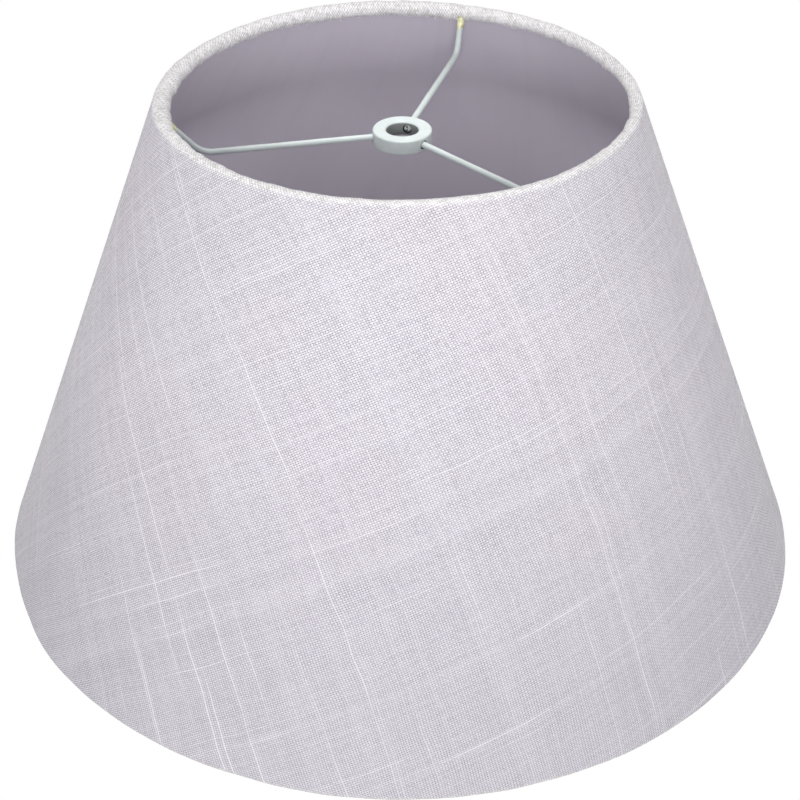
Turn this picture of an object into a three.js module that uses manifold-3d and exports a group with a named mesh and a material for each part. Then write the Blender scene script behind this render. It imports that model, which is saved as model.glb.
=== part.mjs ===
// An empire lamp shade with a spider fitter: linen laminated on a styrene liner, its edges rolled over two
// wire rings, and three wire arms from the top ring to a bored hub that sits on a lamp's harp or stud.
// Millimetres, +Z up. The origin is the centre of the circle that the bottom edge stands on.
import * as THREE from "three";
import { mergeVertices } from "three/addons/utils/BufferGeometryUtils.js";
import Module from "manifold-3d";

// ---- Driving dimensions ----

// The shade, measured over the cloth.
const TOP_DIAMETER = 153;
const BOTTOM_DIAMETER = 282;
const HEIGHT = 168;

// The layers of the wall and the wire of the two rings.
const CLOTH = 0.5;
const LINER = 0.4;
const TAPE = 0.2;
const RING_WIRE = 2.4;
const GAP = 0.3; // the glue line, or the air, between two neighbouring pieces

// The seams run down the slope at one azimuth. Their laps are as wide at the top as at the bottom.
const SEAM_AZIMUTH = 170;
const CLOTH_LAP = 12;
const LINER_LAP = 10;
const TAPE_MARGIN = 1.5; // the tape stays this far inside the edges of the liner's lap
const LAP_RAMP = 12; // degrees in which a sheet climbs to the level of its lap

// The spider: a bored hub with three sockets, and the arms that end in them.
const HUB_DIAMETER = 19;
const HUB_BORE = 10.2;
const HUB_THICKNESS = 5;
const HUB_EDGE = 0.4; // bevel of the outer edges
const BORE_CHAMFER = 0.6;
const HUB_DROP = 15.9; // from the crest of the top edge down to the plane of the arms
const ARM_WIRE = 2;
const SOCKET_CLEARANCE = 0.45; // all round the arm
const ARM_BEND = 4; // from the knee's corner to where the bend starts and ends
const ARMS = [
  { side: "rear", azimuth: 73, kneeInset: 6 },
  { side: "left", azimuth: 192, kneeInset: 12.5 },
  { side: "right", azimuth: 314, kneeInset: 9 },
];

// The drop of glue round each arm where it leaves the rolled edge.
const GLUE_LENGTH = 4;
const GLUE_WALL_TOP = 0.6;
const GLUE_WALL_END = 0.2;

// How finely round things are divided.
const SHADE_SIDES = 72;
const LINER_STEPS = 90;
const HUB_SIDES = 48;
const WIRE_SIDES = 8;
const ARM_STEPS = 26;

// ---- Places worked out from them ----

const rollRadius = RING_WIRE / 2 + GAP + CLOTH; // outside of the cloth, from the middle of the wire
const flatHalfAngle = Math.PI / 12; // the roll ends in a narrow flat, this far each side of straight down or up
const rollReach = rollRadius * Math.cos(flatHalfAngle);
const topRing = new THREE.Vector2(TOP_DIAMETER / 2 - rollRadius, HEIGHT - rollReach);
const bottomRing = new THREE.Vector2(BOTTOM_DIAMETER / 2 - rollRadius, rollReach);
const upSlope = topRing.clone().sub(bottomRing).normalize();
const outward = new THREE.Vector2(upSlope.y, -upSlope.x);
const slopeAngle = Math.atan2(outward.y, outward.x);
const armLevel = HEIGHT - HUB_DROP;
const seam = THREE.MathUtils.degToRad(SEAM_AZIMUTH);

// A point of the wall's section, placed from a ring's middle: so far up the slope, so far outwards.
function onSlope(ring, up, out) {
  return ring.clone().addScaledVector(upSlope, up).addScaledVector(outward, out);
}

function arc(centre, radius, from, to, steps) {
  return Array.from({ length: steps + 1 }, (_, i) => {
    const angle = from + ((to - from) * i) / steps;
    return new THREE.Vector2(centre.x + radius * Math.cos(angle), centre.y + radius * Math.sin(angle));
  });
}

// A closed section turned round the Z axis.
function turned(section, sides) {
  return new THREE.LatheGeometry([...section, section[0]], sides).rotateX(Math.PI / 2);
}

// A section (x outwards, y up) carried round the Z axis by place(step, radius), which gives its azimuth and lift.
function wrapped(section, steps, place) {
  const geometry = new THREE.ExtrudeGeometry(new THREE.Shape(section), {
    depth: 1,
    steps,
    bevelEnabled: false,
  });
  const position = geometry.attributes.position;
  for (let i = 0; i < position.count; i++) {
    const radius = position.getX(i);
    const { azimuth, lift } = place(1 - position.getZ(i), radius);
    const lifted = radius + lift * outward.x;
    const z = position.getY(i) + lift * outward.y;
    position.setXYZ(i, lifted * Math.cos(azimuth), lifted * Math.sin(azimuth), z);
  }
  return geometry;
}

// ---- Joining and cutting ----

const wasm = await Module();
wasm.setup();

function solid(geometry) {
  const bare = new THREE.BufferGeometry();
  bare.setAttribute("position", geometry.attributes.position.clone());
  if (geometry.index) bare.setIndex(geometry.index.clone());
  const merged = mergeVertices(bare, 1e-4);
  return new wasm.Manifold(
    new wasm.Mesh({
      numProp: 3,
      vertProperties: new Float32Array(merged.attributes.position.array),
      triVerts: new Uint32Array(merged.index.array),
    }),
  );
}

function geometryOf(manifold) {
  const mesh = manifold.getMesh();
  const geometry = new THREE.BufferGeometry();
  geometry.setAttribute("position", new THREE.BufferAttribute(mesh.vertProperties, 3));
  geometry.setIndex(new THREE.BufferAttribute(mesh.triVerts, 1));
  return geometry;
}

// ---- The spider ----

// The corners of an arm's centre line, in the upright plane of the arm: inner end, knee and the ring it reaches.
function armLine({ kneeInset }) {
  const knee = new THREE.Vector2(topRing.x - kneeInset, armLevel);
  const leg = topRing.clone().sub(knee).normalize();
  return { inner: new THREE.Vector2(HUB_BORE / 2 + GAP, armLevel), knee, leg };
}

// A point of an arm's plane in space.
function inArmPlane({ azimuth }, point) {
  const angle = THREE.MathUtils.degToRad(azimuth);
  return new THREE.Vector3(point.x * Math.cos(angle), point.x * Math.sin(angle), point.y);
}

function straightRod(arm, from, to, radius, sides) {
  const a = inArmPlane(arm, from);
  const b = inArmPlane(arm, to);
  const rod = new THREE.CylinderGeometry(radius, radius, a.distanceTo(b), sides);
  rod.applyQuaternion(
    new THREE.Quaternion().setFromUnitVectors(new THREE.Vector3(0, 1, 0), b.clone().sub(a).normalize()),
  );
  const middle = a.add(b).multiplyScalar(0.5);
  return rod.translate(middle.x, middle.y, middle.z);
}

function hubGeometry() {
  const inner = HUB_BORE / 2;
  const outer = HUB_DIAMETER / 2;
  const low = armLevel - HUB_THICKNESS / 2;
  const high = armLevel + HUB_THICKNESS / 2;
  const section = [
    [inner, low + BORE_CHAMFER],
    [inner + BORE_CHAMFER, low],
    [outer - HUB_EDGE, low],
    [outer, low + HUB_EDGE],
    [outer, high - HUB_EDGE],
    [outer - HUB_EDGE, high],
    [inner + BORE_CHAMFER, high],
    [inner, high - BORE_CHAMFER],
  ].map(([x, y]) => new THREE.Vector2(x, y));
  let hub = solid(turned(section, HUB_SIDES));
  for (const arm of ARMS) {
    const from = new THREE.Vector2(inner / 2, armLevel);
    const to = new THREE.Vector2(outer + 1, armLevel);
    hub = hub.subtract(solid(straightRod(arm, from, to, ARM_WIRE / 2 + SOCKET_CLEARANCE, 2 * WIRE_SIDES)));
  }
  return geometryOf(hub);
}

function armGeometry(arm) {
  const { inner, knee, leg } = armLine(arm);
  const bendStart = knee.clone().add(new THREE.Vector2(-ARM_BEND, 0));
  const bendEnd = knee.clone().addScaledVector(leg, ARM_BEND);
  const end = topRing.clone().addScaledVector(leg, -(RING_WIRE / 2 + GAP));
  const [p0, p1, p2, p3, p4] = [inner, bendStart, knee, bendEnd, end].map((p) => inArmPlane(arm, p));
  const path = new THREE.CurvePath();
  path.add(new THREE.LineCurve3(p0, p1));
  path.add(new THREE.QuadraticBezierCurve3(p1, p2, p3));
  path.add(new THREE.LineCurve3(p3, p4));
  const wire = new THREE.Shape(arc(new THREE.Vector2(), ARM_WIRE / 2, 0, 2 * Math.PI, WIRE_SIDES).slice(1));
  return new THREE.ExtrudeGeometry(wire, { steps: ARM_STEPS, bevelEnabled: false, extrudePath: path });
}

// A sleeve of set glue, thick against the rolled edge and thin at its other end.
function glueGeometry(arm) {
  const { leg } = armLine(arm);
  const bore = ARM_WIRE / 2 + GAP;
  const section = [
    [bore, 0],
    [bore + GLUE_WALL_END, 0],
    [bore + GLUE_WALL_TOP, GLUE_LENGTH],
    [bore, GLUE_LENGTH],
  ].map(([x, y]) => new THREE.Vector2(x, y));
  const glue = turned(section, 2 * WIRE_SIDES);
  const start = inArmPlane(arm, topRing.clone().addScaledVector(leg, -(rollRadius + GAP + GLUE_LENGTH)));
  const along = inArmPlane(arm, leg).normalize();
  glue.applyQuaternion(new THREE.Quaternion().setFromUnitVectors(new THREE.Vector3(0, 0, 1), along));
  return glue.translate(start.x, start.y, start.z);
}

// ---- The wall ----

function ringGeometry(ring) {
  return new THREE.TorusGeometry(ring.x, RING_WIRE / 2, WIRE_SIDES, SHADE_SIDES).translate(0, 0, ring.y);
}

// The cloth's section: up the outside, over the top ring, down the inside of itself, and under the bottom ring.
// Each edge ends tucked under its ring, a gap short of the liner's inner face.
function coverSection() {
  const inside = rollRadius - CLOTH;
  const linerFace = inside - GAP - LINER;
  const tuck = Math.acos((linerFace - GAP) / rollRadius);
  const up = Math.PI / 2;
  const over = slopeAngle + 2 * Math.PI - tuck; // where the top edge ends
  const under = slopeAngle - 2 * Math.PI + tuck; // and the bottom edge
  const wholeTop = (radius) => [
    ...arc(topRing, radius, slopeAngle, up - flatHalfAngle, 3),
    ...arc(topRing, radius, up + flatHalfAngle, over, 6),
  ];
  const wholeBottom = (radius) => [
    ...arc(bottomRing, radius, slopeAngle, -up + flatHalfAngle, 4),
    ...arc(bottomRing, radius, -up - flatHalfAngle, under, 5),
  ];
  return [
    ...wholeTop(rollRadius),
    ...wholeTop(inside).reverse(),
    ...wholeBottom(inside),
    ...wholeBottom(rollRadius).reverse(),
  ];
}

// The cloth's folded end, glued down on its other end: a strip that climbs out of the wall and stops at the fold.
function lapGeometry() {
  const sunk = rollRadius - CLOTH / 2;
  const proud = rollRadius + CLOTH;
  const section = [
    onSlope(bottomRing, 0, sunk),
    onSlope(bottomRing, 0, proud),
    onSlope(topRing, 0, proud),
    onSlope(topRing, 0, sunk),
  ];
  return wrapped(section, 6, (step, radius) => ({
    azimuth: seam - (1 - step) * (CLOTH_LAP / radius),
    lift: -CLOTH * (1 - Math.min(1, 4 * step)),
  }));
}

function coverGeometry() {
  let cover = solid(turned(coverSection(), SHADE_SIDES)).add(solid(lapGeometry()));
  for (const arm of ARMS) {
    const { knee } = armLine(arm);
    cover = cover.subtract(solid(straightRod(arm, knee, topRing, ARM_WIRE / 2 + GAP, 2 * WIRE_SIDES)));
  }
  return geometryOf(cover);
}

// The section of a layer of the liner or its tape: its outer face is so far out from the middles of the rings.
function layerSection(outerFace, thickness) {
  const short = rollRadius + GAP;
  return [
    onSlope(bottomRing, short, outerFace - thickness),
    onSlope(bottomRing, short, outerFace),
    onSlope(topRing, -short, outerFace),
    onSlope(topRing, -short, outerFace - thickness),
  ];
}

const linerOuterFace = rollRadius - CLOTH - GAP;

// One sheet of styrene, bent round once and a lap more. Its far end lies inside its near end.
function linerGeometry() {
  const lapDrop = LINER + TAPE + 2 * GAP;
  const ramp = THREE.MathUtils.degToRad(LAP_RAMP);
  return wrapped(layerSection(linerOuterFace, LINER), LINER_STEPS, (step, radius) => {
    const turn = step * (2 * Math.PI + LINER_LAP / radius);
    const climbed = THREE.MathUtils.smoothstep(turn, 2 * Math.PI - ramp, 2 * Math.PI - ramp / 4);
    return { azimuth: seam + turn, lift: -lapDrop * climbed };
  });
}

function tapeGeometry() {
  const section = layerSection(linerOuterFace - LINER - GAP, TAPE);
  return wrapped(section, 3, (step, radius) => ({
    azimuth: seam + (TAPE_MARGIN + step * (LINER_LAP - 2 * TAPE_MARGIN)) / radius,
    lift: 0,
  }));
}

// ---- The object ----

const linen = new THREE.MeshStandardMaterial({ color: 0xe6e1e8, roughness: 0.9, metalness: 0 });
const styrene = new THREE.MeshStandardMaterial({ color: 0xb9b2be, roughness: 0.5, metalness: 0 });
const whitePaint = new THREE.MeshStandardMaterial({ color: 0xe3ebe9, roughness: 0.35, metalness: 0 });
const wire = new THREE.MeshStandardMaterial({ color: 0xb8b8b5, roughness: 0.4, metalness: 0.8 });
const glue = new THREE.MeshStandardMaterial({ color: 0xc9c48a, roughness: 0.25, metalness: 0 });
const tape = new THREE.MeshStandardMaterial({ color: 0xd8d4c8, roughness: 0.6, metalness: 0 });

const lampShade = new THREE.Group();

function add(name, geometry, material) {
  const mesh = new THREE.Mesh(geometry, material);
  mesh.name = name;
  lampShade.add(mesh);
}

add("linen_cover", coverGeometry(), linen);
add("styrene_liner", linerGeometry(), styrene);
add("liner_seam_tape", tapeGeometry(), tape);
add("top_ring", ringGeometry(topRing), wire);
add("bottom_ring", ringGeometry(bottomRing), wire);
add("spider_hub", hubGeometry(), whitePaint);
for (const arm of ARMS) {
  add("spider_arm_" + arm.side, armGeometry(arm), whitePaint);
  add("arm_glue_" + arm.side, glueGeometry(arm), glue);
}

export default lampShade;
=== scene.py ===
import math

import bmesh
import bpy
import numpy as np
from mathutils import Matrix, Vector


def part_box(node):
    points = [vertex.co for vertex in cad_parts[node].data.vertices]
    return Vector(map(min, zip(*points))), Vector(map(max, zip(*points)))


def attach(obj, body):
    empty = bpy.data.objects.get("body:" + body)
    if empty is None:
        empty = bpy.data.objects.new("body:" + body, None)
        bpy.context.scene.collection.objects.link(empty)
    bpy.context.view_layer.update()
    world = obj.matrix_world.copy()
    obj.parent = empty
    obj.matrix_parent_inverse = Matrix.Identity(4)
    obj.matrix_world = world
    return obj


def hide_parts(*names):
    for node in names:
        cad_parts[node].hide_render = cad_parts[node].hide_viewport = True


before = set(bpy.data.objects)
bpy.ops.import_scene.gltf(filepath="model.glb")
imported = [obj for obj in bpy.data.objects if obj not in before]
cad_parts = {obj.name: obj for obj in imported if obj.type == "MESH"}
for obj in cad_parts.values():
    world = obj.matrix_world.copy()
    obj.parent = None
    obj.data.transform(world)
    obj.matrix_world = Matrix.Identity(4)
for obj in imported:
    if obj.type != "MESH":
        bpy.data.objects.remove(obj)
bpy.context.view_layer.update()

scene = bpy.context.scene
MM = 0.001
TURN = 2 * math.pi

# ---- Sizes: from the CAD nodes' boxes where a box holds them ----


def ring_of(node):
    """A ring's middle line as (radius, height), and its wire's radius."""
    low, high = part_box(node)
    wire = (high[2] - low[2]) / 2
    return np.array([high[0] - wire, (low[2] + high[2]) / 2]), wire


TOP, WIRE = ring_of("top_ring")
BOTTOM, _ = ring_of("bottom_ring")
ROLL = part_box("linen_cover")[1][0] - BOTTOM[0]  # outside of the rolled cloth, from the wire's middle
CLOTH, LINER, TAPE, GAP = 0.5 * MM, 0.4 * MM, 0.2 * MM, 0.3 * MM
CLOTH_LAP, LINER_LAP, TAPE_MARGIN = 12 * MM, 10 * MM, 1.5 * MM
SEAM = math.radians(170)
FIRST = SEAM - TURN  # the cloth goes round from here to SEAM
FRONT = -math.pi / 2

HUB_LOW, HUB_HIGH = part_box("spider_hub")
HUB_RADIUS, ARM_LEVEL = HUB_HIGH[0], (HUB_LOW[2] + HUB_HIGH[2]) / 2
HUB_CENTRE = np.array([0.8, -0.2]) * MM  # the spider isn't welded in quite true
BORE, ARM_WIRE, SOCKET, BEND = 5.1 * MM, 1.0 * MM, 1.45 * MM, 4 * MM
# Each arm's azimuth on the ring, how far inside the ring its knee's corner is, and its start in the hub.
ARMS = {
    "rear": (math.radians(73), 6 * MM, HUB_CENTRE + np.array([0.15, -0.05]) * MM),
    "left": (math.radians(192), 12.5 * MM, HUB_CENTRE + np.array([-0.25, 1.0]) * MM),
    "right": (math.radians(314), 9 * MM, HUB_CENTRE + np.array([0.3, 0.3]) * MM),
}

UP = (TOP - BOTTOM) / np.linalg.norm(TOP - BOTTOM)
OUT = np.array([UP[1], -UP[0]])
SLOPE = math.atan2(OUT[1], OUT[0])  # also the cone's half-angle
TUCK = math.acos((ROLL - CLOTH - 2 * GAP - LINER) / ROLL)
TOP_EDGE = math.radians(250)  # where the turned-in cloth ends, round the top wire
LOW_EDGE = math.radians(-262)  # about where the tucked cloth ends, round the bottom wire
TIP = (TOP[0] + ROLL * OUT[0]) / math.sin(SLOPE)  # the cone's tip to where the wall meets the top roll
WALL = float(np.linalg.norm(TOP - BOTTOM))

# How the shape strays, as rows of a size in millimetres, an azimuth and a width in degrees.
TOP_BULGES = ((0.6, 198, 18), (-0.5, 18, 24), (-1.1, 148, 24))
LOW_BULGES = ((0.9, 213, 8), (0.1, 300, 14))
HEM_BULGES = ((1.0, 100, 62), (1.5, 184, 28))  # the hem is thickest by the seam, where the layers cross

# ---- Small helpers ----


def smooth(x, low, high):
    """0 below low and 1 above high, with a smooth rise between them."""
    t = np.clip((np.asarray(x, float) - low) / (high - low), 0, 1)
    return t * t * (3 - 2 * t)


def smooth_turn(angle, low, high):
    """The same for an angle in radians and limits in degrees."""
    return smooth(angle, math.radians(low), math.radians(high))


def spokes(count):
    """So many even angles in a whole turn."""
    return np.linspace(0, TURN, count + 1)[:-1]


def ripple(azimuth, seed, low, high):
    """Noise round the shade with low to high waves in the turn, about 1 in size."""
    r = np.random.default_rng(seed)
    waves = np.arange(low, high + 1)
    phase = r.uniform(0, TURN, len(waves)).reshape(-1, *[1] * np.ndim(azimuth))
    size = r.normal(size=len(waves))
    size /= np.sqrt((size**2).sum() / 2)
    return np.tensordot(size, np.cos(np.multiply.outer(waves, azimuth) + phase), 1)


def bulges(azimuth, rows):
    """A sum of smooth bulges, each with its full size at its azimuth and next to none past its width."""
    total = 0.0
    for size, at, width in rows:
        off = (np.asarray(azimuth) - math.radians(at) + math.pi) % TURN - math.pi
        total = total + size * np.exp(-((off / math.radians(width)) ** 2))
    return total


def out_of_round(azimuth, height):
    """How far the wall stands off the true cone, because its two wires aren't true circles."""
    share = (height - BOTTOM[1]) / (TOP[1] - BOTTOM[1])
    top = bulges(azimuth, TOP_BULGES) - 0.5 * np.cos(azimuth) + 0.1 * ripple(azimuth, 3, 3, 7)
    low = bulges(azimuth, LOW_BULGES) + 0.6 * np.cos(azimuth) + 0.15 * ripple(azimuth, 5, 3, 9)
    return MM * (share * top + (1 - share) * low)


def round_axis(section, azimuth):
    """Section points (radius, height) at azimuths, in space, with the wall's real shape."""
    radius = section[..., 0] + out_of_round(azimuth, section[..., 1])
    return np.stack([radius * np.cos(azimuth), radius * np.sin(azimuth), section[..., 1]], -1)


def round_wire(angle):
    """The way out from a wire's middle at an angle round it, as (radius, height)."""
    return np.stack([np.cos(angle), np.sin(angle)], -1)


def linked(name, mesh, sharp):
    """A mesh as an object in the scene, smooth but for edges over sharp degrees."""
    mesh.shade_smooth()
    mesh.set_sharp_from_angle(angle=math.radians(sharp))
    piece = bpy.data.objects.new(name, mesh)
    scene.collection.objects.link(piece)
    return piece


def mesh_object(name, points, faces, maps=None, sharp=35):
    """An object from points and four-sided faces, turned to point out.

    maps holds each map's name and the places of all corners, in the faces' order.
    """
    points = points.reshape(-1, 3)
    corner = points[faces]
    volume = sum((corner[:, 0] * np.cross(corner[:, k], corner[:, k + 1])).sum() for k in (1, 2))
    order = -1 if volume < 0 else 1
    mesh = bpy.data.meshes.new(name)
    mesh.from_pydata(points.tolist(), [], faces[:, ::order].tolist())
    for key, value in (maps or {}).items():
        layer = mesh.uv_layers.new(name=key, do_init=False)
        layer.uv.foreach_set("vector", value[:, ::order].astype(np.float32).ravel())
    return linked(name, mesh, sharp)


def loose_object(name, points, faces):
    """Like mesh_object, for lists of faces of mixed sizes."""
    mesh = bpy.data.meshes.new(name)
    mesh.from_pydata(points.tolist(), [], faces)
    work = bmesh.new()
    work.from_mesh(mesh)
    bmesh.ops.recalc_face_normals(work, faces=work.faces)
    work.to_mesh(mesh)
    work.free()
    return linked(name, mesh, sharp=40)


def grid_faces(rows, columns, wrap_rows=True, wrap_columns=True):
    """The faces of a grid of points, and each face's corners as (row, column) without wrapping."""
    row = np.arange(rows if wrap_rows else rows - 1)
    column = np.arange(columns if wrap_columns else columns - 1)
    i, j = (grid.ravel() for grid in np.meshgrid(row, column, indexing="ij"))
    corner_rows = np.stack([i, i, i + 1, i + 1], 1)
    corner_columns = np.stack([j, j + 1, j + 1, j], 1)
    return (corner_rows % rows) * columns + corner_columns % columns, corner_rows, corner_columns


def tube(path, radii, across, sides):
    """Points and faces of a tube along a path, with a fan at each end. across is never along the path."""
    path, radii = np.asarray(path, float), np.broadcast_to(radii, len(path))
    along = np.gradient(path, axis=0)
    along /= np.linalg.norm(along, axis=1)[:, None]
    first = np.cross(along, across)
    first /= np.linalg.norm(first, axis=1)[:, None]
    second = np.cross(along, first)
    turn = np.arange(sides) * 2 * math.pi / sides
    ring = first[:, None] * np.cos(turn)[None, :, None] + second[:, None] * np.sin(turn)[None, :, None]
    points = (path[:, None] + ring * radii[:, None, None]).reshape(-1, 3)
    ends = np.array([points[:sides].mean(0), points[-sides:].mean(0)])
    count, k = len(points), np.arange(sides)
    after, last = (k + 1) % sides, count - sides
    start = np.stack([np.full(sides, count), after, k], 1)
    finish = np.stack([np.full(sides, count + 1), last + k, last + after], 1)
    faces = grid_faces(len(path), sides, wrap_rows=False)[0]
    return np.vstack([points, ends]), faces.tolist() + start.tolist() + finish.tolist()


# ---- The cloth ----

CLOTH_COLUMNS, ROLL_ROWS, WALL_ROWS = 540, 30, 62
INNER_ROLL_ROWS, INNER_WALL_ROWS = 12, 3
SNIP_HALF, SNIP_PAST = 1.42 * MM, math.radians(42)  # half a snip's width, and how far it runs past its arm
SLIT = math.radians(118)  # where on the top roll the slit beside each arm is deepest


def flat_place(azimuth, along):
    """Where a point of the wall lay on the flat cloth. along is its distance from the cone's tip."""
    turn = (azimuth - FRONT) * math.sin(SLOPE)
    return np.stack([along * np.cos(turn), along * np.sin(turn)], -1)


def arm_plane(arm):
    """An arm's upright plane: its start at the hub, its way out, and how far along that the ring is."""
    azimuth, _, start = ARMS[arm]
    end = (TOP[0] + out_of_round(azimuth, TOP[1])) * np.array([math.cos(azimuth), math.sin(azimuth)])
    reach = np.linalg.norm(end - start)
    return start, (end - start) / reach, reach


def arm_leg(arm):
    """An arm's upper straight in that plane: the knee's corner, the way to the ring, and the ring."""
    ring = np.array([arm_plane(arm)[2], TOP[1]])
    knee = np.array([ring[0] - ARMS[arm][1], ARM_LEVEL])
    return knee, (ring - knee) / np.linalg.norm(ring - knee), ring


def columns():
    """The cloth's azimuths from FIRST to just before SEAM, close together at the arms and the seam."""
    parts = [np.linspace(FIRST, SEAM, CLOTH_COLUMNS + 1)[:-1]]
    for azimuth, _, _ in ARMS.values():
        middle = (azimuth - FIRST) % TURN + FIRST
        parts.append(middle + np.linspace(-4, 4, 49) * MM / TOP[0])
    near = np.array([0.12, 0.3, 0.6, 1.0, 1.6]) * MM / TOP[0]
    parts += [SEAM - near, FIRST + near]
    found = np.unique(np.concatenate(parts))
    return found[np.append(True, np.diff(found) > 0.08 * MM / TOP[0])]


def arm_offsets(azimuth):
    """For each arm, how far along the ring each azimuth is from it."""
    for arm, (at, _, _) in ARMS.items():
        yield arm, ((azimuth - at + math.pi) % TURN - math.pi) * TOP[0]


def top_end(azimuth):
    """The angle on the roll where the cloth's top edge was cut, with a snip round each arm."""
    end = TOP_EDGE + math.radians(4) * ripple(azimuth, 11, 70, 240)
    ragged = SNIP_HALF + 0.16 * MM * ripple(azimuth, 13, 200, 420)
    for arm, off in arm_offsets(azimuth):
        leg = arm_leg(arm)[1]
        snip = math.atan2(-leg[1], -leg[0]) % TURN - SNIP_PAST
        end = end + (snip - end) * (1 - smooth(np.abs(off), ragged - 0.2 * MM, ragged + 0.2 * MM))
    return end


def lap_lift(azimuth, radius, height):
    """How far the cloth's folded end lifts the surface. It is pressed flat round the top wire."""
    back = (SEAM - azimuth) * radius
    pressed = 1 - 0.75 * smooth(height, TOP[1] - 8 * MM, TOP[1] - 2 * MM)
    fade = 1 - smooth(back, CLOTH_LAP - 3 * MM, CLOTH_LAP)
    fold = 0.75 + 0.25 * smooth(back, 0, 0.5 * MM)
    return pressed * CLOTH * fade * fold * (back > 1e-9)


def hem(azimuth):
    """How much thicker the turned-in hem is than the cloth."""
    return MM * (0.1 + bulges(azimuth, HEM_BULGES) + 0.12 * ripple(azimuth, 43, 9, 40))


def roll_radius(azimuth, angle, thickness):
    """The cloth's radius at an angle round the top wire. It puckers and splits where it is turned in."""
    turned = smooth_turn(angle, 95, 190)
    pucker = 0.10 * ripple(azimuth, 17, 50, 150) * turned + 0.05 * ripple(azimuth, 19, 20, 60)
    past = smooth_turn(angle, 120, 200)
    from_slit = angle - SLIT
    slit_fade = np.exp(-((from_slit / math.radians(22)) ** 4))
    lips, slit = 0.0, 0.0
    for _, off in arm_offsets(azimuth):
        lips = lips + 0.34 * np.exp(-(((np.abs(off) - 1.7 * MM) / (0.9 * MM)) ** 2)) * past
        slanted = off + from_slit * 0.5 * ROLL
        slit = slit + 0.45 * np.exp(-((slanted / (0.26 * MM)) ** 4)) * slit_fade
    thick = 0 if thickness else hem(azimuth) * smooth_turn(angle, 60, 175)
    return ROLL - thickness + thick + MM * (pucker + lips - slit)


def cloth_side(azimuth, thickness, roll_rows, wall_rows):
    """One side of the cloth from its top edge to its bottom edge.

    It gives the section points, their distances from the cone's tip on the flat cloth, and the ways out.
    """
    end = top_end(azimuth)
    share = np.linspace(0, 1, roll_rows)[:, None]
    angle = end + (SLOPE - end) * share
    top = TOP + roll_radius(azimuth, angle, thickness)[..., None] * round_wire(angle)
    down = np.linspace(0, 1, wall_rows + 2)[1:-1, None]
    wall = TOP + down[..., None] * (BOTTOM - TOP) + (ROLL - thickness) * OUT + 0 * azimuth[None, :, None]
    low_end = SLOPE - TURN + TUCK + math.radians(4) * ripple(azimuth, 23, 60, 220)
    low_angle = SLOPE + (low_end - SLOPE) * share
    turned = smooth_turn(-low_angle, 95, 190)
    pucker = 0.08 * ripple(azimuth, 29, 40, 120) * turned + 0.04 * ripple(azimuth, 31, 15, 50)
    low = BOTTOM + (ROLL - thickness + MM * pucker)[..., None] * round_wire(low_angle)
    on_top, on_wall = TIP - ROLL * (angle - SLOPE), TIP + WALL * down + 0 * azimuth
    on_low = TIP + WALL + ROLL * (SLOPE - low_angle)
    ways = [round_wire(angle), np.broadcast_to(OUT, wall.shape), round_wire(low_angle)]
    return np.concatenate([top, wall, low]), np.concatenate([on_top, on_wall, on_low]), np.concatenate(ways)


def make_cloth():
    """The cloth as one closed skin: its outside going down, and its inside going back up."""
    azimuth = columns()
    outer, outer_along, way = cloth_side(azimuth, 0.0, ROLL_ROWS, WALL_ROWS)
    outer = outer + way * lap_lift(azimuth, outer[..., 0], outer[..., 1])[..., None]
    inner, inner_along, _ = cloth_side(azimuth, CLOTH, INNER_ROLL_ROWS, INNER_WALL_ROWS)
    section = np.concatenate([outer, inner[::-1]])
    section[..., 1] = np.maximum(section[..., 1], 0)
    along = np.concatenate([outer_along, inner_along[::-1]])
    rows, count = section.shape[:2]
    faces, corner_rows, corner_columns = grid_faces(rows, count)
    at = np.append(azimuth, SEAM)[corner_columns]
    flat = flat_place(at, along[corner_rows % rows, corner_columns % count])
    # The bake's map: the outside in two strips, half a turn each, and the hidden inside in a narrow one.
    strip, strip_used, inside_strip, inside_used = 0.48, 0.47, 0.965, 0.03
    outside = len(outer)
    length = np.cumsum(np.linalg.norm(np.diff(outer[:, 0], axis=0), axis=1))
    depth = np.concatenate([[0], length / length[-1], np.linspace(1, 0, rows - outside), [0]])[corner_rows]
    half = (at[:, :1] >= FIRST + math.pi).astype(float)
    hidden = corner_rows[:, :1] >= outside - 1
    u = np.where(hidden, (at - FIRST) / TURN, (at - FIRST) / math.pi - half)
    v = np.where(hidden, inside_strip + inside_used * depth, strip * half + strip_used * depth)
    maps = {"flat": flat, "OFBake": np.stack([u, v], -1)}
    return mesh_object("linen_cloth", round_axis(section, azimuth), faces, maps, sharp=60)


TOP_FRAYS, LOW_FRAYS, SNIP_FRAYS = 1100, 500, 46  # the last is for each arm's snip


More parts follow.
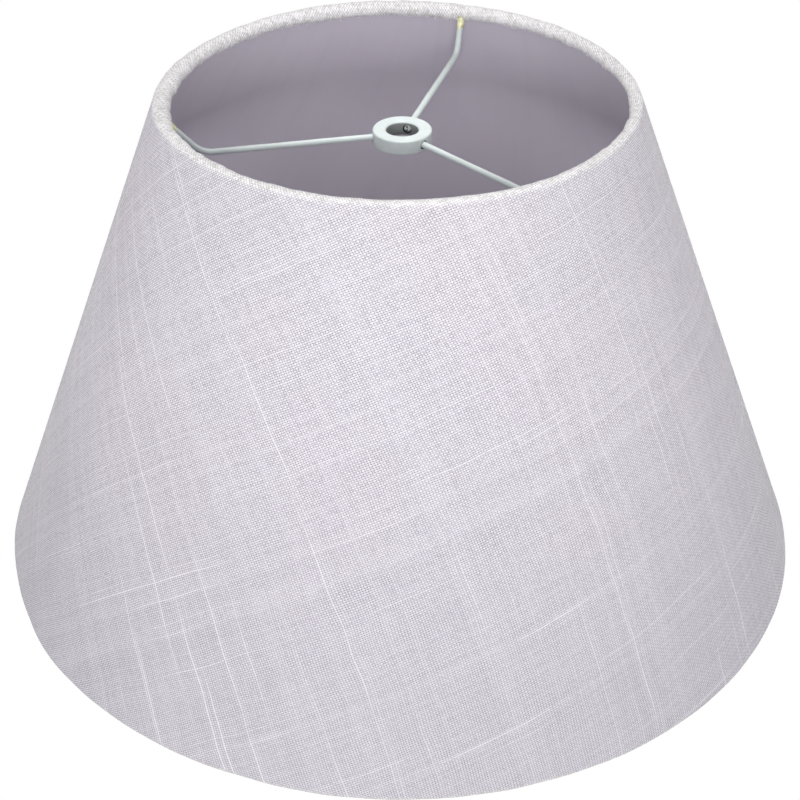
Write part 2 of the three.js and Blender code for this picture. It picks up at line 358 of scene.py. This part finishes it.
def make_frays():
    """Thread ends and fibres that stand out of the cut edges and the snips."""
    r = np.random.default_rng(41)
    points, faces = [], []

    def fray(azimuth, angle, centre, length, thick, lean):
        """One thin tapered tube that starts on the roll and runs on past the cloth's edge."""
        fat = hem(azimuth) if centre is TOP else 0
        start = centre + (ROLL - 0.1 * MM + fat) * round_wire(angle)
        base = round_axis(start[None], np.array([azimuth]))[0]
        radial = np.array([math.cos(azimuth), math.sin(azimuth), 0])
        side = np.array([-math.sin(azimuth), math.cos(azimuth), 0])
        normal = radial * math.cos(angle) + np.array([0, 0, math.sin(angle)])
        along = -radial * math.sin(angle) + np.array([0, 0, math.cos(angle)])
        along *= 1 if centre is TOP else -1
        aim = 0.25 * normal + along * (0.75 + 0.3 * r.normal()) + side * lean
        aim /= np.linalg.norm(aim)
        curl = normal * r.uniform(-0.2, 0.4) + side * r.normal() * 0.35
        t = np.linspace(0, 1, 4)[:, None]
        path = base + length * (t * aim + t * t * curl * 0.6)
        taper = thick * np.array([1, 0.95, 0.8, 0.45])
        got, made = tube(path, taper, np.cross(aim, curl + 0.01 * normal), 4)
        offset = sum(len(p) for p in points)
        points.append(got)
        faces.extend([[k + offset for k in f] for f in made])

    for centre, count, edge, sign in ((TOP, TOP_FRAYS, TOP_EDGE, 1), (BOTTOM, LOW_FRAYS, LOW_EDGE, -1)):
        for _ in range(count):
            azimuth = r.uniform(FIRST, SEAM)
            if centre is TOP and min(abs(off) for _, off in arm_offsets(np.array(azimuth))) < 1.6 * MM:
                continue
            angle = edge - sign * math.radians(abs(r.normal()) * 16 - 2)
            thread = r.random() < 0.4
            length = r.uniform(0.5, 1.3) * MM
            thick = (r.uniform(0.09, 0.16) if thread else r.uniform(0.03, 0.05)) * MM
            fray(azimuth, angle, centre, length, thick, r.normal() * 0.5)
    for at, _, _ in ARMS.values():
        for _ in range(SNIP_FRAYS):
            side = r.choice((-1, 1))
            azimuth = at + side * r.uniform(1.3, 2.0) * MM / TOP[0]
            angle = math.radians(r.uniform(165, 300))
            length, thick = r.uniform(0.6, 1.5) * MM, r.uniform(0.05, 0.15) * MM
            fray(azimuth, angle, TOP, length, thick, -side * r.uniform(0.0, 1.0))
    return loose_object("cloth_frays", np.vstack(points), faces)


def make_ring(name, centre):
    """A wire ring, as much out of round as the wall."""
    azimuth, turn = spokes(360), spokes(16)[:, None]
    section = centre + WIRE * round_wire(turn + 0 * azimuth)
    return mesh_object(name, round_axis(section, azimuth), grid_faces(*section.shape[:2])[0])


# ---- The liner and its tape ----


def sheet_of(name, outer_face, thickness, turns, azimuth_of, lift_of, rows=26, waves=0.0):
    """A stiff sheet round the shade. Its outer face is outer_face out from the wires' middles."""
    short = ROLL + GAP
    low, high = BOTTOM + short * UP, TOP - short * UP
    up_share = np.linspace(0, 1, rows)[:, None]
    sides, azimuths = [], []
    for face in (outer_face, outer_face - thickness):
        line = low + up_share[..., None] * (high - low) + face * OUT + 0 * turns[None, :, None]
        azimuths.append(azimuth_of(turns, line[..., 0]))
        wave = waves * ripple(azimuths[-1], 37, 5, 26) * np.sin(math.pi * up_share)
        lift = lift_of(turns, line[..., 0]) + wave
        sides.append(line + lift[..., None] * OUT)
    section = np.concatenate([sides[0], sides[1][::-1]])
    azimuth = np.concatenate([azimuths[0], azimuths[1][::-1]])
    count, across = section.shape[:2]
    faces, corner_rows, corner_columns = grid_faces(count, across, wrap_columns=False)
    # The flat map starts at the sheet's lower edge. Only the streaks of the material use it.
    along = np.linalg.norm(section - section[0, 0], axis=-1)
    row = corner_rows % count
    flat = flat_place(azimuth[row, corner_columns], TIP + along[row, corner_columns])
    # The bake's map: the outer side below, the inner side above it, and the two cut ends in a corner.
    outer_share, inner_share = corner_rows / rows, (count - corner_rows) / rows
    v = np.where(corner_rows >= rows, 0.52 + 0.46 * inner_share, 0.48 * outer_share)
    bake = np.stack([corner_columns / (across - 1), v], -1)
    k = np.arange(rows - 1)
    ends = [np.stack([k + a, k + b, count - 1 - k - b, count - 1 - k - a], 1) for a, b in ((0, 1), (1, 0))]
    ends = np.vstack([ends[0] * across, ends[1] * across + across - 1])
    corner = np.repeat(np.array([[0.0, 0.01, 0.01, 0.0]]), len(ends), 0)
    corner = np.stack([corner, corner], -1)
    maps = {"flat": np.concatenate([flat, corner]), "OFBake": np.concatenate([bake, corner + 0.985])}
    return mesh_object(name, round_axis(section, azimuth), np.vstack([faces, ends]), maps)


def make_liner():
    """The liner, which steps inward near its end to lap its own start, and the tape in the lap."""
    face, step = ROLL - CLOTH - GAP, math.radians(12)
    drop = LINER + TAPE + 2 * GAP

    def turned(t, radius):
        return t * (TURN + LINER_LAP / radius)

    def lift(t, radius):
        return -drop * smooth(turned(t, radius), TURN - step, TURN - step / 4)

    def liner_azimuth(t, radius):
        return SEAM + turned(t, radius)

    def tape_azimuth(t, radius):
        return SEAM + (TAPE_MARGIN + t * (LINER_LAP - 2 * TAPE_MARGIN)) / radius

    def flush(_, radius):
        return 0 * radius

    around, over_tape = np.linspace(0, 1, 421), np.linspace(0, 1, 7)
    liner = sheet_of("styrene_sheet", face, LINER, around, liner_azimuth, lift, waves=0.05 * MM)
    tape = sheet_of("seam_tape", face - LINER - GAP, TAPE, over_tape, tape_azimuth, flush)
    return liner, tape


# ---- The spider ----

SOCKET_SIDES, WIRE_SIDES, GLUE_SIDES = 28, 24, 28


def filleted(corners, radius, steps=5):
    """A closed section with its corners rounded."""
    corners, done = np.asarray(corners, float), []
    for k, corner in enumerate(corners):
        before, after = corners[k - 1] - corner, corners[(k + 1) % len(corners)] - corner
        size = min(radius, 0.45 * np.linalg.norm(before), 0.45 * np.linalg.norm(after))
        start = corner + before / np.linalg.norm(before) * size
        end = corner + after / np.linalg.norm(after) * size
        for t in np.linspace(0, 1, steps):
            done.append((1 - t) ** 2 * start + 2 * t * (1 - t) * corner + t * t * end)
    return np.array(done)


def in_plane(arm, points, direction=False):
    """Points of an arm's upright plane (distance out, height) in space."""
    points = np.asarray(points, float)
    start, way, _ = arm_plane(arm)
    flat = points[..., :1] * way + (0 if direction else start)
    return np.concatenate([flat, points[..., 1:]], -1)


def across_plane(arm):
    """The level way across an arm's upright plane."""
    way = arm_plane(arm)[1]
    return np.array([-way[1], way[0], 0])


def make_hub():
    """The hub: a thick washer with its edges rounded, drilled for each arm."""
    low, high, chamfer, edge = HUB_LOW[2], HUB_HIGH[2], 0.6 * MM, 0.4 * MM
    bottom = [(BORE, low + chamfer), (BORE + chamfer, low)]
    bottom += [(HUB_RADIUS - edge, low), (HUB_RADIUS, low + edge)]
    top = [(radius, low + high - height) for radius, height in reversed(bottom)]
    section = filleted(bottom + top, 0.3 * MM)[:, None]
    turn = spokes(144)
    ring = section[..., 0, None] * round_wire(turn)
    height = section[..., 1, None] + 0 * turn[:, None]
    points = np.concatenate([ring + HUB_CENTRE, height], -1)
    hub = mesh_object("hub_body", points, grid_faces(len(section), len(turn))[0])
    drills = []
    for arm in ARMS:
        reach = (0.5 * BORE, HUB_RADIUS, HUB_RADIUS + 2 * MM)
        path = in_plane(arm, [(out, ARM_LEVEL) for out in reach])
        drill = loose_object("drill_" + arm, *tube(path, SOCKET, np.array([0, 0, 1.0]), SOCKET_SIDES))
        cut = hub.modifiers.new("socket_" + arm, "BOOLEAN")
        cut.object, cut.solver = drill, "EXACT"
        drills.append(drill)
    drilled = bpy.data.meshes.new_from_object(hub.evaluated_get(bpy.context.evaluated_depsgraph_get()))
    hub.modifiers.clear()
    hub.data = drilled
    for drill in drills:
        bpy.data.objects.remove(drill)
    drilled.shade_smooth()
    drilled.set_sharp_from_angle(angle=math.radians(35))
    return hub


def unpainted_and_shaded_faces(hub):
    """The faces that the paint didn't reach, made dark. True is for those in a socket, whose near black is
    painted shade, False for those in the bore, bare metal darkened with painted shade.
    """
    past_bore, inside = BORE + 0.12 * MM, HUB_RADIUS - 0.1 * MM
    low, high = HUB_LOW[2] + 0.75 * MM, HUB_HIGH[2] - 0.75 * MM
    for face in hub.data.polygons:
        away = math.hypot(face.center.x - HUB_CENTRE[0], face.center.y - HUB_CENTRE[1])
        drilled = away < inside and low < face.center.z < high
        if away < past_bore or drilled:
            yield face, drilled and away > past_bore


def make_arm(arm, seed):
    """A painted wire: straight out of its socket, a bend, and up to the ring."""
    knee, leg, ring = arm_leg(arm)
    start, bend = np.array([BORE + GAP, ARM_LEVEL]), knee - np.array([BEND, 0])
    rise, end = knee + leg * BEND, ring - leg * (WIRE + 0.05 * MM)
    level, bent = np.linspace(0, 1, 40)[:-1], np.linspace(0, 1, 24)[:-1]
    line = [start + (bend - start) * t for t in level]
    line += [(1 - t) ** 2 * bend + 2 * t * (1 - t) * knee + t * t * rise for t in bent]
    line += [rise + (end - rise) * t for t in np.linspace(0, 1, 14)]
    line = np.array(line)
    along = np.linspace(0, 1, len(line))
    paint = 1 + 0.012 * np.sin(along * 61 + seed) + 0.01 * np.sin(along * 23 + 2 * seed)
    # The paint pools a little where the wire leaves the hub, and thins over the wire's cut end.
    pool = 0.10 * np.exp(-(((line[:, 0] - HUB_RADIUS) / (0.8 * MM)) ** 2))
    thickly_painted = 1.08 if arm == "rear" else 1.0
    radii = ARM_WIRE * thickly_painted * (paint + pool)
    radii = np.concatenate([[0.8 * radii[0]], radii[:1], radii[1:-1], radii[-1:]])
    path = in_plane(arm, line)
    path = np.vstack([path[:1], path[:1] + (path[1] - path[0]) * 0.08, path[1:-1], path[-1:]])
    return loose_object("arm_wire_" + arm, *tube(path, radii, across_plane(arm), WIRE_SIDES))


def make_glue(arm, seed):
    """A set drop of glue round an arm, thick at the rolled edge and drawn out down the wire."""
    _, leg, ring = arm_leg(arm)
    length = 4.6 * MM
    t = np.linspace(0, 1, 22)[:, None]
    turn = spokes(GLUE_SIDES)
    phase = np.random.default_rng(seed).uniform(0, 6.28, 4)
    lobes = 0.16 * np.cos(turn + phase[0]) + 0.09 * np.cos(2 * turn + phase[1] + 3 * t)
    lobes = lobes + 0.05 * np.cos(5 * turn + phase[2] + 7 * t)
    fat = 0.1 + 0.3 * (1 - smooth(t, 0.0, 0.75)) + 0.08 * np.exp(-(((t - 0.55) / 0.16) ** 2))
    outer = ARM_WIRE + MM * fat * (1 + 1.1 * lobes) * (1 - smooth(t, 0.9, 1.0) * 0.8)
    inner = ARM_WIRE * 1.015
    depth = t * length * (1 + 0.14 * np.cos(turn + phase[3]) * t)
    down, across = in_plane(arm, -leg, direction=True), across_plane(arm)
    spoke = np.cos(turn)[:, None] * across + np.sin(turn)[:, None] * np.cross(down, across)
    origin = in_plane(arm, ring - leg * (ROLL + 0.05 * MM))
    skin = origin + depth[..., None] * down + outer[..., None] * spoke
    bore = origin + depth[::-7, :, None] * down + inner * spoke
    points = np.concatenate([skin, bore])
    return mesh_object("glue_drop_" + arm, points, grid_faces(len(points), GLUE_SIDES)[0], sharp=80)


# ---- Materials ----


class Look:
    """A material's nodes, with short ways to join them."""

    def __init__(self, name):
        self.material = bpy.data.materials.new(name)
        self.material.use_nodes = True
        self.tree = self.material.node_tree
        self.shader = next(n for n in self.tree.nodes if n.type == "BSDF_PRINCIPLED")

    def put(self, socket, value):
        if isinstance(value, bpy.types.NodeSocket):
            self.tree.links.new(value, socket)
        else:
            socket.default_value = value

    def set(self, **values):
        for key, value in values.items():
            self.put(self.shader.inputs[key.replace("_", " ")], value)

    def made(self, kind, **values):
        node = self.tree.nodes.new("ShaderNode" + kind)
        for key, value in values.items():
            self.put(node.inputs[key.replace("_", " ")], value)
        return node

    def maths(self, operation, *values):
        node = self.made("Math")
        node.operation = operation
        for socket, value in zip(node.inputs, values):
            self.put(socket, value)
        return node.outputs[0]

    def add(self, first, *more):
        for value in more:
            first = self.maths("ADD", first, value)
        return first

    def mul(self, first, *more):
        for value in more:
            first = self.maths("MULTIPLY", first, value)
        return first

    def most(self, a, b):
        return self.maths("MAXIMUM", a, b)

    def step(self, value, low, high, to_low=0.0, to_high=1.0):
        node = self.made("MapRange", Value=value, From_Min=low, From_Max=high)
        node.interpolation_type = "SMOOTHSTEP"
        self.put(node.inputs["To Min"], to_low)
        self.put(node.inputs["To Max"], to_high)
        return node.outputs[0]

    def mix(self, share, a, b):
        node = self.made("Mix")
        node.data_type = "RGBA"
        self.put(node.inputs[0], share)
        self.put(node.inputs[6], a)
        self.put(node.inputs[7], b)
        return node.outputs[2]

    def place(self):
        return self.made("TexCoord").outputs["Object"]

    def flat(self):
        """The place on the flat cloth, as x and y."""
        node = self.made("UVMap")
        node.uv_map = "flat"
        x, y, _ = self.made("SeparateXYZ", Vector=node.outputs[0]).outputs
        return x, y

    def joined(self, x, y, z=0.0):
        return self.made("CombineXYZ", X=x, Y=y, Z=z).outputs[0]

    def noise(self, where, scale, detail=2.0, rough=0.5):
        return self.made("TexNoise", Vector=where, Scale=scale, Detail=detail, Roughness=rough).outputs[0]

    def chance(self, x, y):
        """A chance of 0 to 1 for each pair of numbers."""
        node = self.made("TexWhiteNoise", Vector=self.joined(x, y))
        node.noise_dimensions = "2D"
        return node.outputs["Value"]

    def bumped(self, height, strength, distance):
        node = self.made("Bump", Height=height, Strength=strength, Distance=distance)
        self.set(Normal=node.outputs[0])


def tone(red, green, blue):
    """An sRGB colour, 0 to 255, as linear RGBA."""
    shares = [c / 255 for c in (red, green, blue)]
    return tuple(s / 12.92 if s < 0.04045 else ((s + 0.055) / 1.055) ** 2.4 for s in shares) + (1.0,)


PITCH_ONE, PITCH_TWO = 0.65 * MM, 0.77 * MM  # from thread to thread in the two sets
RISE, FALL = math.radians(23), math.radians(62)  # the ways they run at the middle of the front
SAG = 0.11  # how far the second set has slipped at the lower edge, as a share of the wall
WANDER, UNEVEN = 2.8, 0.26  # how many pitches the threads stray, slowly and from one to the next


def thread_set(look, x, y, way, pitch, bow, seed):
    """One set of threads across a way: each thread's number, its crown, its luck and its slubs.

    The place across the threads is counted in pitches, with uneven spacing and a slow wander.
    """
    across = look.add(look.mul(look.add(look.mul(x, way[0]), look.mul(y, way[1])), 1 / pitch), bow)
    along = look.mul(look.add(look.mul(x, -way[1]), look.mul(y, way[0])), 1 / pitch)

    def streaks(source, source_scale, along_scale, offset):
        """Noise that changes from thread to thread, and slowly along them."""
        where = look.joined(look.mul(source, source_scale), look.mul(along, along_scale), seed + offset)
        return look.noise(where, scale=1.0, detail=1.0)

    wander = look.mul(look.noise(look.joined(x, y, seed), scale=45.0, detail=1.0), WANDER)
    uneven = look.mul(streaks(across, 0.31, 0.006, 3.0), UNEVEN)
    place = look.add(across, look.add(wander, uneven))
    number = look.maths("FLOOR", place)
    crown = look.maths("COSINE", look.mul(look.add(look.maths("FRACT", place), -0.5), math.pi))
    luck = look.chance(number, seed + 0.5)
    run = look.step(streaks(number, 3.37, 0.012, 9.0), 0.48, 0.66)
    long_slub = look.mul(look.step(luck, 0.84, 0.99), run)
    short_slub = look.step(streaks(number, 5.13, 0.07, 21.0), 0.72, 0.86, 0.0, 0.45)
    return number, crown, luck, look.most(long_slub, short_slub)


def linen_look():
    """Plain-woven linen of two slanting sets of threads, with painted shade in the gaps where they part."""
    look = Look("linen")
    x, y = look.flat()
    flat = look.joined(x, y)
    slack = look.mul(look.maths("POWER", look.most(look.add(x, -TIP), 0.0), 2.0), -SAG / (WALL * PITCH_TWO))
    way_one, way_two = (math.cos(RISE), math.sin(RISE)), (math.cos(FALL), -math.sin(FALL))
    number_one, crown_one, luck_one, slub_one = thread_set(look, x, y, way_one, PITCH_ONE, 0.0, 1.0)
    number_two, crown_two, luck_two, slub_two = thread_set(look, x, y, way_two, PITCH_TWO, slack, 40.0)
    over = look.maths("COSINE", look.mul(look.add(number_one, number_two), math.pi))
    first = look.mul(crown_one, look.add(0.54, look.mul(over, crown_two, 0.36)))
    second = look.mul(crown_two, look.add(0.52, look.mul(over, crown_one, -0.32)))
    weave = look.most(first, second)

    # Round the wires the cloth is painted whiter, a painted highlight on the rolled edges, and the painted
    # shade between and under its threads is lighter there.
    from_tip = look.maths("SQRT", look.add(look.mul(x, x), look.mul(y, y)))
    on_top = look.step(from_tip, TIP - 1.5 * MM, TIP + 0.5 * MM, 1.0, 0.0)
    turned = look.most(on_top, look.step(from_tip, TIP + WALL, TIP + WALL + 2 * MM))
    slubs_one = look.mul(slub_one, look.step(crown_one, 0.1, 0.8))
    slubs = look.most(slubs_one, look.mul(slub_two, look.step(crown_two, 0.1, 0.8)))
    fluff, loose = look.noise(flat, scale=5200.0), look.noise(flat, scale=60.0, detail=3.0)
    crossing = look.chance(number_one, number_two)
    luck = look.add(luck_one, luck_two)
    ragged = look.add(look.mul(look.add(loose, -0.5), 0.10), look.mul(look.add(fluff, -0.5), 0.5))
    uneven_gaps = look.mul(look.add(crossing, -0.5), look.step(turned, 0.0, 1.0, 0.26, 0.55))
    ragged = look.add(ragged, uneven_gaps, look.mul(look.add(luck, -1.0), 0.08))
    cover = look.step(look.add(weave, ragged), 0.1, 0.72)

    thread, cloudy = tone(241, 236, 243), look.noise(look.place(), scale=14.0)
    thread = look.mix(look.step(cloudy, 0.35, 0.65), thread, tone(239, 236, 242))
    patchy = look.noise(look.joined(x, y, 5.0), scale=22.0)
    thread = look.mix(look.step(patchy, 0.45, 0.75), thread, tone(241, 235, 241))
    thread = look.mix(look.mul(luck, 0.09), thread, tone(214, 208, 222))
    # Painted shade: the cloth is darker towards the bottom.
    painted_shade_toward_bottom = look.step(x, TIP + 0.1 * WALL, TIP + WALL, 0.0, 0.95)
    thread = look.mix(painted_shade_toward_bottom, thread, tone(209, 206, 212))
    # Painted highlight: whiter cloth on the rolled edges round the wires.
    thread = look.mix(turned, thread, tone(250, 249, 250))
    under = look.step(look.add(second, look.mul(first, -1.0)), -0.12, 0.12)
    shaded = look.mul(under, look.step(turned, 0.0, 1.0, 0.42, 0.2))
    thread = look.mix(shaded, thread, tone(190, 185, 196))
    # Painted shade in the gaps between the threads, much darker at some crossings.
    deep = look.step(crossing, 0.45, 1.0)
    gap_shade = look.mix(deep, tone(162, 157, 166), tone(88, 84, 94))
    gap_shade = look.mix(turned, gap_shade, look.mix(deep, tone(196, 193, 190), tone(120, 117, 114)))
    cloth = look.mix(look.mul(slubs, 0.32), look.mix(cover, gap_shade, thread), tone(252, 250, 253))
    # Loose fibres stand on the threads that pass over. They catch the light at a slant.
    fibres = look.mul(look.step(under, 0.0, 1.0, 1.0, 0.0), cover)
    look.set(Base_Color=cloth, Roughness=look.step(fluff, 0.2, 0.8, 0.82, 0.95), Specular_IOR_Level=0.25)
    look.set(Sheen_Weight=look.mul(fibres, 0.8), Sheen_Roughness=0.3)
    height = look.add(weave, look.mul(slubs, 0.4), look.mul(fluff, 0.25))
    look.bumped(height, strength=0.6, distance=0.16 * MM)
    return look.material


def thread_look():
    """The frayed thread ends."""
    look = Look("linen_thread")
    fine = look.noise(look.place(), scale=2600.0)
    look.set(Base_Color=look.mix(fine, tone(222, 217, 226), tone(248, 246, 250)))
    look.set(Roughness=0.9, Specular_IOR_Level=0.2)
    look.bumped(fine, strength=0.4, distance=0.05 * MM)
    return look.material


def styrene_look():
    """The liner: matt, lilac-grey, with faint streaks and scuffs."""
    look = Look("styrene")
    where = look.place()
    x, y = look.flat()
    cloudy = look.noise(where, scale=16.0, detail=3.0, rough=0.55)
    grain = look.noise(where, scale=2400.0)
    streak = look.noise(look.joined(look.mul(x, 12.0), look.mul(y, 130.0), 2.0), scale=1.0)
    scuff = look.noise(look.joined(look.mul(x, 300.0), look.mul(y, 22.0), 7.0), scale=1.0, detail=3.0)
    base = look.mix(look.step(cloudy, 0.3, 0.7), tone(207, 201, 213), tone(212, 206, 217))
    base = look.mix(look.step(streak, 0.45, 0.8, 0.0, 0.35), base, tone(197, 194, 206))
    base = look.mix(look.step(scuff, 0.68, 0.74, 0.0, 0.2), base, tone(216, 211, 219))
    base = look.mix(look.mul(grain, 0.12), base, tone(186, 180, 192))
    look.set(Base_Color=base, Roughness=look.step(cloudy, 0.2, 0.8, 0.5, 0.62), Specular_IOR_Level=0.35)
    look.bumped(look.add(look.mul(grain, 0.3), look.mul(cloudy, 2.0)), strength=0.12, distance=0.2 * MM)
    return look.material


def paint_look():
    """The spider's white paint, a little uneven, with a few specks."""
    look = Look("white_paint")
    where = look.place()
    peel, soft = look.noise(where, scale=900.0), look.noise(where, scale=160.0, detail=3.0)
    speck = look.step(look.noise(where, scale=2100.0, detail=1.0), 0.74, 0.80, 0.0, 0.35)
    base = look.mix(look.step(soft, 0.35, 0.7), tone(200, 209, 207), tone(208, 216, 215))
    look.set(Base_Color=look.mix(speck, base, tone(176, 180, 178)))
    look.set(Roughness=look.step(soft, 0.25, 0.75, 0.34, 0.46), Specular_IOR_Level=0.5)
    look.set(Coat_Weight=0.15, Coat_Roughness=0.25)
    look.bumped(look.add(look.mul(peel, 0.6), look.mul(soft, 0.8)), strength=0.25, distance=0.06 * MM)
    return look.material


def bare_metal_and_shade_look(name, dark, light):
    """Drilled or cut metal that the paint didn't reach, in the colours given. Its darkest colours stand for
    painted shade.
    """
    look = Look(name)
    turned = look.noise(look.place(), scale=1500.0, detail=3.0)
    look.set(Base_Color=look.mix(turned, dark, light), Metallic=0.3)
    look.set(Roughness=look.step(turned, 0.3, 0.7, 0.45, 0.65))
    look.bumped(turned, strength=0.4, distance=0.05 * MM)
    return look.material


def wire_look():
    """The rings' drawn steel wire."""
    look = Look("ring_wire")
    drawn = look.noise(look.place(), scale=700.0, detail=3.0)
    look.set(Base_Color=look.mix(drawn, tone(150, 150, 148), tone(196, 196, 192)), Metallic=1.0)
    look.set(Roughness=look.step(drawn, 0.3, 0.7, 0.3, 0.45))
    look.bumped(drawn, strength=0.2, distance=0.03 * MM)
    return look.material


def glue_look():
    """Yellowish set glue with small bubbles."""
    look = Look("glue")
    where = look.place()
    thick = look.noise(where, scale=620.0)
    bubbles = look.step(look.noise(where, scale=3000.0, detail=1.0), 0.66, 0.74)
    base = look.mix(look.step(thick, 0.35, 0.65), tone(196, 196, 132), tone(236, 235, 190))
    look.set(Base_Color=look.mix(look.mul(bubbles, 0.4), base, tone(245, 244, 222)))
    look.set(Roughness=look.step(thick, 0.2, 0.8, 0.2, 0.34), Coat_Weight=0.5, Coat_Roughness=0.12)
    look.bumped(look.add(thick, look.mul(bubbles, 0.3)), strength=0.35, distance=0.1 * MM)
    return look.material


def tape_look():
    """The liner's tape, seen from its paper side."""
    look = Look("tape")
    paper = look.noise(look.place(), scale=1100.0, detail=3.0)
    look.set(Base_Color=look.mix(paper, tone(206, 201, 188), tone(228, 224, 214)))
    look.set(Roughness=look.step(paper, 0.2, 0.8, 0.5, 0.7))
    look.bumped(paper, strength=0.2, distance=0.03 * MM)
    return look.material


# ---- The pieces ----


def finished(piece, material, slot, *nodes):
    """Gives a piece its material and body, and hides the CAD parts of the nodes that it stands for. slot is
    not used.
    """
    piece.data.materials.clear()
    piece.data.materials.append(material)
    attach(piece, "root")
    if nodes:
        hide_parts(*nodes)
    return piece


paint, wire, linen, glue = paint_look(), wire_look(), linen_look(), glue_look()
cloth = finished(make_cloth(), linen, "linen", "linen_cover")
frays = finished(make_frays(), thread_look(), "linen")
liner, tape = make_liner()
finished(liner, styrene_look(), "styrene", "styrene_liner")
finished(tape, tape_look(), "tape", "liner_seam_tape")
finished(make_ring("top_wire", TOP), wire, "ring_wire", "top_ring")
finished(make_ring("bottom_wire", BOTTOM), wire, "ring_wire", "bottom_ring")

hub = finished(make_hub(), paint, "white_paint", "spider_hub")
# The bore is bare metal, painted darker as shade in the hole.
hub.data.materials.append(bare_metal_and_shade_look("bore_metal_and_shade", tone(120, 124, 122), tone(158, 162, 160)))
# Near black in the sockets: painted shade round each arm's end.
hub.data.materials.append(bare_metal_and_shade_look("painted_socket_shade", tone(24, 25, 25), tone(48, 50, 50)))
for face, in_socket in unpainted_and_shaded_faces(hub):
    face.material_index = 2 if in_socket else 1

cut_end = bare_metal_and_shade_look("cut_end", tone(52, 54, 54), tone(122, 126, 124))
for seed, arm in enumerate(ARMS, 1):
    painted = finished(make_arm(arm, seed), paint, "white_paint", "spider_arm_" + arm)
    painted.data.materials.append(cut_end)
    for face in painted.data.polygons:
        away = math.hypot(face.center.x - HUB_CENTRE[0], face.center.y - HUB_CENTRE[1])
        face.material_index = int(away < BORE + GAP)
    finished(make_glue(arm, seed), glue, "glue", "arm_glue_" + arm)

# ---- The stage ----

CAMERA_RISE, CAMERA_ROLL, CAMERA_AWAY = math.radians(35.05), math.radians(0.153), 0.5639
CAMERA_AT = Vector((0.0003, 0, 0.04902))  # the point the camera looks at
LENS, SENSOR = 71.236, 36  # millimetres
FLOOR_REACH, FLOOR_DROP, FLOOR_GREY = 4, 0.05 * MM, 0.32
STUDIO, STUDIO_STRENGTH = (1.0, 0.995, 1.0, 1), 0.87  # what lights the scene
WHITE, WHITE_STRENGTH = (1, 1, 1, 1), 1.05  # what the camera sees behind it


def make_camera():
    """A camera that looks down on the shade from the front."""
    camera = bpy.data.objects.new("camera", bpy.data.cameras.new("camera"))
    scene.collection.objects.link(camera)
    camera.data.lens, camera.data.sensor_width = LENS, SENSOR
    ahead = Vector((0, math.cos(CAMERA_RISE), -math.sin(CAMERA_RISE)))
    level = Vector((1, 0, 0))
    upright = level.cross(ahead)
    right = level * math.cos(CAMERA_ROLL) + upright * math.sin(CAMERA_ROLL)
    over = upright * math.cos(CAMERA_ROLL) - level * math.sin(CAMERA_ROLL)
    turned = Matrix((right, over, -ahead)).transposed().to_4x4()
    camera.matrix_world = Matrix.Translation(CAMERA_AT - ahead * CAMERA_AWAY) @ turned
    return camera


def camera_sees(tree, shown, lit, out):
    """Shows the camera one shader, while light meets the other."""
    path, pick = tree.nodes.new("ShaderNodeLightPath"), tree.nodes.new("ShaderNodeMixShader")
    tree.links.new(path.outputs["Is Camera Ray"], pick.inputs[0])
    tree.links.new(lit.outputs[0], pick.inputs[1])
    tree.links.new(shown.outputs[0], pick.inputs[2])
    tree.links.new(pick.outputs[0], out.inputs["Surface"])


def make_floor():
    """A pale floor that the camera sees as plain white, while its grey sets how much light comes off it."""
    mesh = bpy.data.meshes.new("floor")
    square = [(-1, -1), (1, -1), (1, 1), (-1, 1)]
    corners = [(FLOOR_REACH * x, FLOOR_REACH * y, -FLOOR_DROP) for x, y in square]
    mesh.from_pydata(corners, [], [(0, 1, 2, 3)])
    floor = bpy.data.objects.new("floor", mesh)
    scene.collection.objects.link(floor)
    look = Look("floor")
    look.set(Base_Color=(FLOOR_GREY, FLOOR_GREY, FLOOR_GREY, 1), Roughness=0.9)
    out = next(n for n in look.tree.nodes if n.type == "OUTPUT_MATERIAL")
    camera_sees(look.tree, look.made("Emission", Strength=1.0), look.shader, out)
    mesh.materials.append(look.material)
    return floor


def make_world():
    """Even studio light, and a white background."""
    world = bpy.data.worlds.new("studio")
    world.use_nodes = True
    nodes = world.node_tree.nodes
    nodes.clear()
    lit, shown = nodes.new("ShaderNodeBackground"), nodes.new("ShaderNodeBackground")
    lit.inputs["Color"].default_value, lit.inputs["Strength"].default_value = STUDIO, STUDIO_STRENGTH
    shown.inputs["Color"].default_value, shown.inputs["Strength"].default_value = WHITE, WHITE_STRENGTH
    camera_sees(world.node_tree, shown, lit, nodes.new("ShaderNodeOutputWorld"))
    return world


def lamp(name, place, aim, size, watts, spread=180):
    """A round lamp aimed at a point. spread is in degrees."""
    light = bpy.data.lights.new(name, "AREA")
    light.shape, light.size, light.energy, light.spread = "DISK", size, watts, math.radians(spread)
    held = bpy.data.objects.new(name, light)
    scene.collection.objects.link(held)
    held.location, held.visible_camera = place, False
    held.rotation_euler = (Vector(aim) - Vector(place)).to_track_quat("-Z", "Y").to_euler()


scene.camera = make_camera()
scene.view_settings.view_transform = "Standard"
make_floor()
scene.world = make_world()
lamp("key", (-0.02, -1.25, 0.40), (0, -0.05, 0.09), size=0.5, watts=7.8)
lamp("top", (0.0, 0.02, 0.8), (0, 0, 0.15), size=0.06, watts=0.010, spread=11)
lamp("inside", (0, 0, 0.135), (0, 0, 0), size=0.1, watts=0.07)
